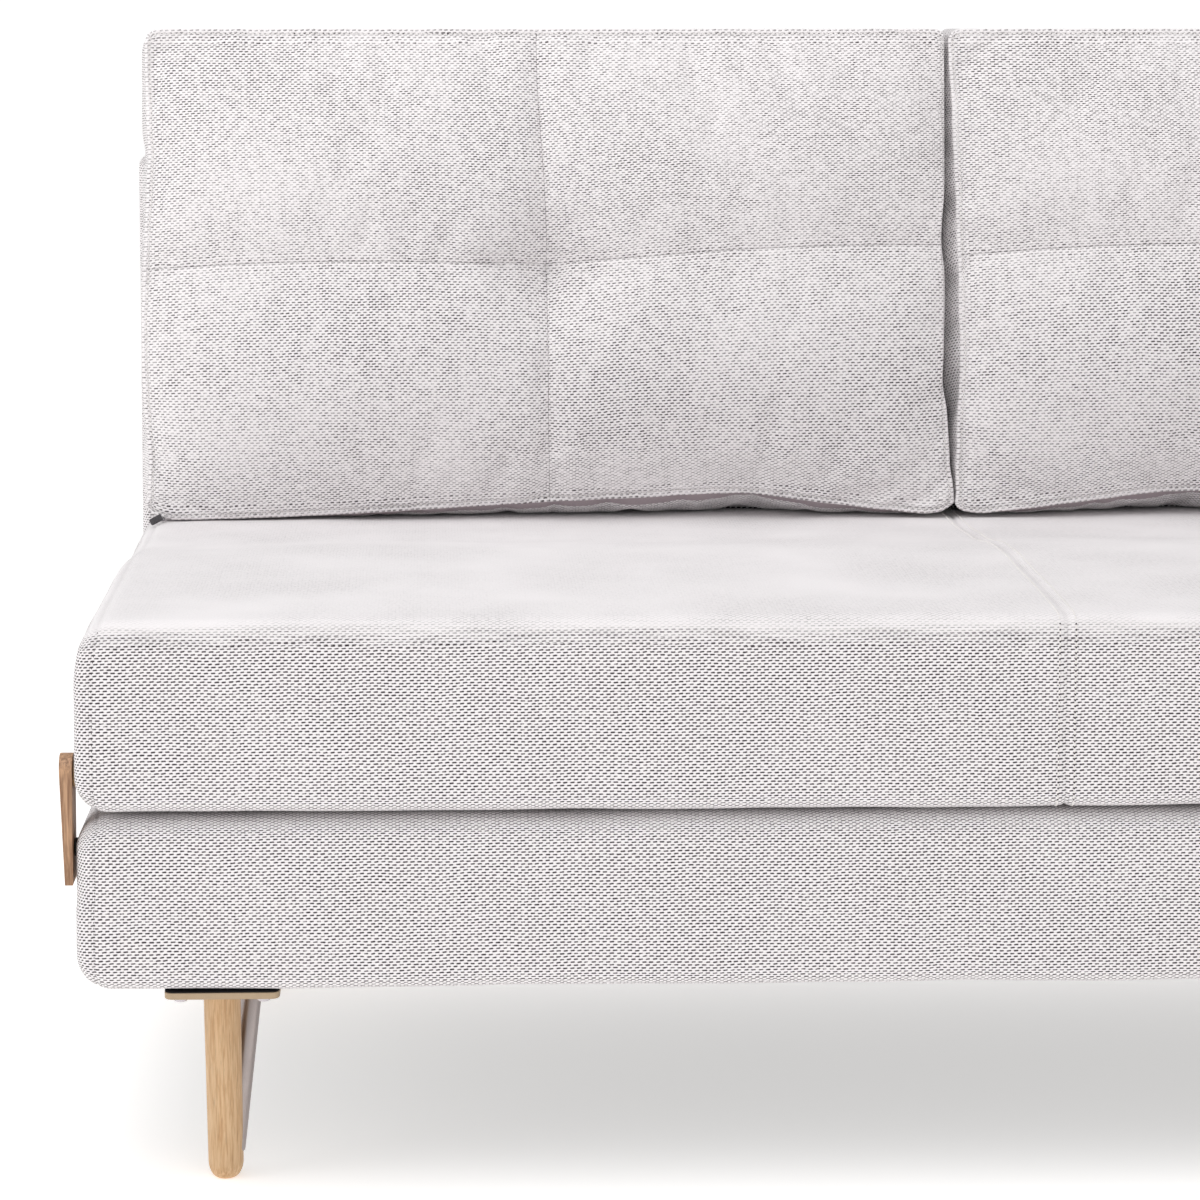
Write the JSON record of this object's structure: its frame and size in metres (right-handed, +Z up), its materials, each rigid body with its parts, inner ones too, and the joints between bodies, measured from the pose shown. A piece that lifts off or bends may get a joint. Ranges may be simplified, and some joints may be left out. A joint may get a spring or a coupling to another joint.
{
  "type": "click clack sofa bed",
  "caption": "Armless sofa bed: a flip-over upper mattress section on side links, a reclining upholstered back, loose tufted back cushions and turned oak legs.",
  "frame": {"origin": "centre of the bounding box at floor level", "axes": "+X along the width, +Y to the rear, +Z up"},
  "size_m": [1.6254, 0.836, 0.945],
  "materials": {
    "upholstery": "matte",
    "oak": "satin",
    "walnut": "satin",
    "beech": "satin",
    "pine": "matte",
    "elastic_webbing": "matte",
    "coil_cover": "matte",
    "nonwoven": "matte",
    "bronzed_steel": "satin",
    "bright_steel": "satin",
    "black_steel": "satin",
    "dark_plastic": "matte"
  },
  "bodies": {
    "base": {"lower_pad": "upholstery", "lower_rail_front": "pine", "lower_rail_rear": "pine", "lower_rail_left": "pine", "lower_rail_right": "pine", "lower_cross_rail": "pine", "lower_webbing": "elastic_webbing", "dust_cover": "nonwoven", "leg_plate_front_left": "bronzed_steel", "leg_plate_front_right": "bronzed_steel", "leg_plate_rear_left": "bronzed_steel", "leg_plate_rear_right": "bronzed_steel", "leg_front_left": "oak", "leg_front_right": "oak", "leg_rear_left": "oak", "leg_rear_right": "oak", "leg_brace_front_left": "bright_steel", "leg_brace_front_right": "bright_steel", "leg_brace_rear_left": "bright_steel", "leg_brace_rear_right": "bright_steel", "link_pin_left": "black_steel", "link_pin_right": "black_steel", "hinge_fixed_left": "black_steel", "hinge_fixed_right": "black_steel"},
    "links": {"side_link_left": "walnut", "side_link_right": "walnut"},
    "seat": {"upper_pad": "upholstery", "upper_underside": "upholstery", "upper_spring_core": "coil_cover", "upper_rail_front": "pine", "upper_rail_rear": "pine", "upper_rail_left": "pine", "upper_rail_right": "pine", "link_dowel_left": "beech", "link_dowel_right": "beech", "bed_leg_bolt_left": "bright_steel", "bed_leg_bolt_right": "bright_steel"},
    "bed_leg_left": {"bed_leg_left": "oak"},
    "bed_leg_right": {"bed_leg_right": "oak"},
    "back": {"back_pad": "upholstery", "back_board": "upholstery", "back_rail_bottom": "pine", "back_rail_top": "pine", "back_rail_left": "pine", "back_rail_right": "pine", "back_webbing": "elastic_webbing", "hinge_moving_left": "black_steel", "hinge_moving_right": "black_steel", "hinge_pawl_left": "bright_steel", "hinge_pawl_right": "bright_steel", "hinge_bolt_left": "bright_steel", "hinge_bolt_right": "bright_steel"},
    "cushion_left": {"cushion_left": "upholstery", "zip_pull_left": "dark_plastic"},
    "cushion_right": {"cushion_right": "upholstery", "zip_pull_right": "dark_plastic"}
  },
  "joints": [
    {"name": "link_swing", "type": "hinge", "parent": "base", "child": "links", "pos_m": [0, -0.3883, 0.29], "axis": [1, 0, 0], "range_deg": [0, 90]},
    {"name": "seat_flip", "type": "hinge", "parent": "links", "child": "seat", "pos_m": [0, -0.3883, 0.35], "axis": [1, 0, 0], "range_deg": [0, 90], "deforming": ["cushion_left", "cushion_right", "zip_pull_left", "zip_pull_right"]},
    {"name": "bed_leg_left_swing", "type": "hinge", "parent": "seat", "child": "bed_leg_left", "pos_m": [-0.8056, 0.222, 0.385], "axis": [1, 0, 0], "range_deg": [-90, 0]},
    {"name": "bed_leg_right_swing", "type": "hinge", "parent": "seat", "child": "bed_leg_right", "pos_m": [0.8056, 0.222, 0.385], "axis": [1, 0, 0], "range_deg": [-90, 0]},
    {"name": "back_recline", "type": "hinge", "parent": "base", "child": "back", "pos_m": [0, 0.3377, 0.29], "axis": [-1, 0, 0], "range_deg": [0, 90]},
    {"name": "cushion_left_settle", "type": "slide", "parent": "back", "child": "cushion_left", "axis": [0, 0.1317, 0.9913], "range_m": [-0.152, 0]},
    {"name": "cushion_right_settle", "type": "slide", "parent": "back", "child": "cushion_right", "axis": [0, 0.1317, 0.9913], "range_m": [-0.152, 0]}
  ],
  "couplings": [
    {"joint": "link_swing", "follows": "seat_flip", "ratio": 1},
    {"joint": "bed_leg_left_swing", "follows": "seat_flip", "ratio": -1},
    {"joint": "bed_leg_right_swing", "follows": "seat_flip", "ratio": -1},
    {"joint": "cushion_left_settle", "follows": "seat_flip", "m_per_rad": -0.09665},
    {"joint": "cushion_right_settle", "follows": "seat_flip", "m_per_rad": -0.09665}
  ]
}
